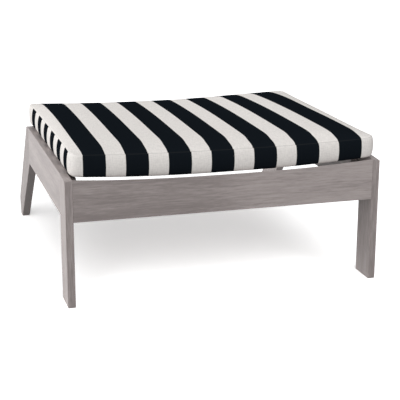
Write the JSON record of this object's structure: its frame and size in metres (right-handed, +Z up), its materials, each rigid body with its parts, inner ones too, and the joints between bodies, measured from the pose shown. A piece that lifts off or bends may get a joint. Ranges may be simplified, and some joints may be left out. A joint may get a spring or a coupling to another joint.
{
  "type": "outdoor ottoman footstool",
  "caption": "Low open-framed outdoor footstool with raked rear legs, dished rails and a slatted deck, carrying a loose striped box cushion with a zipped cover.",
  "frame": {"origin": "on the floor under the middle of the frame's footprint", "axes": "+Z up, +Y from the upright front legs towards the raked rear legs, +X across the frame to the right of someone facing its front"},
  "size_m": [0.8, 0.849, 0.3818],
  "materials": {
    "grey_wood": "weathered grey boards with a fine open grain",
    "dowel_wood": "turned pale hardwood",
    "striped_cloth": "woven outdoor cloth with wide black and off-white stripes",
    "foam": "open foam block",
    "zip_plastic": "moulded coil on woven tape",
    "steel": "plain stainless"
  },
  "bodies": {
    "frame": {"front_leg_left": "grey_wood", "front_leg_right": "grey_wood", "rear_leg_left": "grey_wood", "rear_leg_right": "grey_wood", "side_rail_left": "grey_wood", "side_rail_right": "grey_wood", "front_rail": "grey_wood", "rear_rail": "grey_wood", "cleat_left": "grey_wood", "cleat_right": "grey_wood", "slat_1": "grey_wood", "slat_2": "grey_wood", "slat_3": "grey_wood", "slat_4": "grey_wood", "slat_5": "grey_wood", "front_rail_dowel_left_1": "dowel_wood", "front_rail_dowel_left_2": "dowel_wood", "front_rail_dowel_right_1": "dowel_wood", "front_rail_dowel_right_2": "dowel_wood", "rear_rail_dowel_left_1": "dowel_wood", "rear_rail_dowel_left_2": "dowel_wood", "rear_rail_dowel_right_1": "dowel_wood", "rear_rail_dowel_right_2": "dowel_wood", "side_rail_front_dowel_left_1": "dowel_wood", "side_rail_front_dowel_left_2": "dowel_wood", "side_rail_front_dowel_right_1": "dowel_wood", "side_rail_front_dowel_right_2": "dowel_wood", "side_rail_rear_dowel_left_1": "dowel_wood", "side_rail_rear_dowel_left_2": "dowel_wood", "side_rail_rear_dowel_right_1": "dowel_wood", "side_rail_rear_dowel_right_2": "dowel_wood", "slat_screw_left_1": "steel", "slat_screw_left_2": "steel", "slat_screw_left_3": "steel", "slat_screw_left_4": "steel", "slat_screw_left_5": "steel", "slat_screw_right_1": "steel", "slat_screw_right_2": "steel", "slat_screw_right_3": "steel", "slat_screw_right_4": "steel", "slat_screw_right_5": "steel", "cleat_screw_left_1": "steel", "cleat_screw_left_2": "steel", "cleat_screw_left_3": "steel", "cleat_screw_left_4": "steel", "cleat_screw_right_1": "steel", "cleat_screw_right_2": "steel", "cleat_screw_right_3": "steel", "cleat_screw_right_4": "steel"},
    "cushion": {"cushion_cover": "striped_cloth", "foam_core": "foam", "zip_tape": "zip_plastic"},
    "zip_slider": {"zip_slider": "steel"}
  },
  "joints": [
    {"name": "cushion_lift", "type": "slide", "parent": "frame", "child": "cushion", "axis": [0, 0, 1], "range_m": [0, 0.15]},
    {"name": "zip_slide", "type": "slide", "parent": "cushion", "child": "zip_slider", "axis": [1, 0, 0], "range_m": [0, 0.455]}
  ]
}
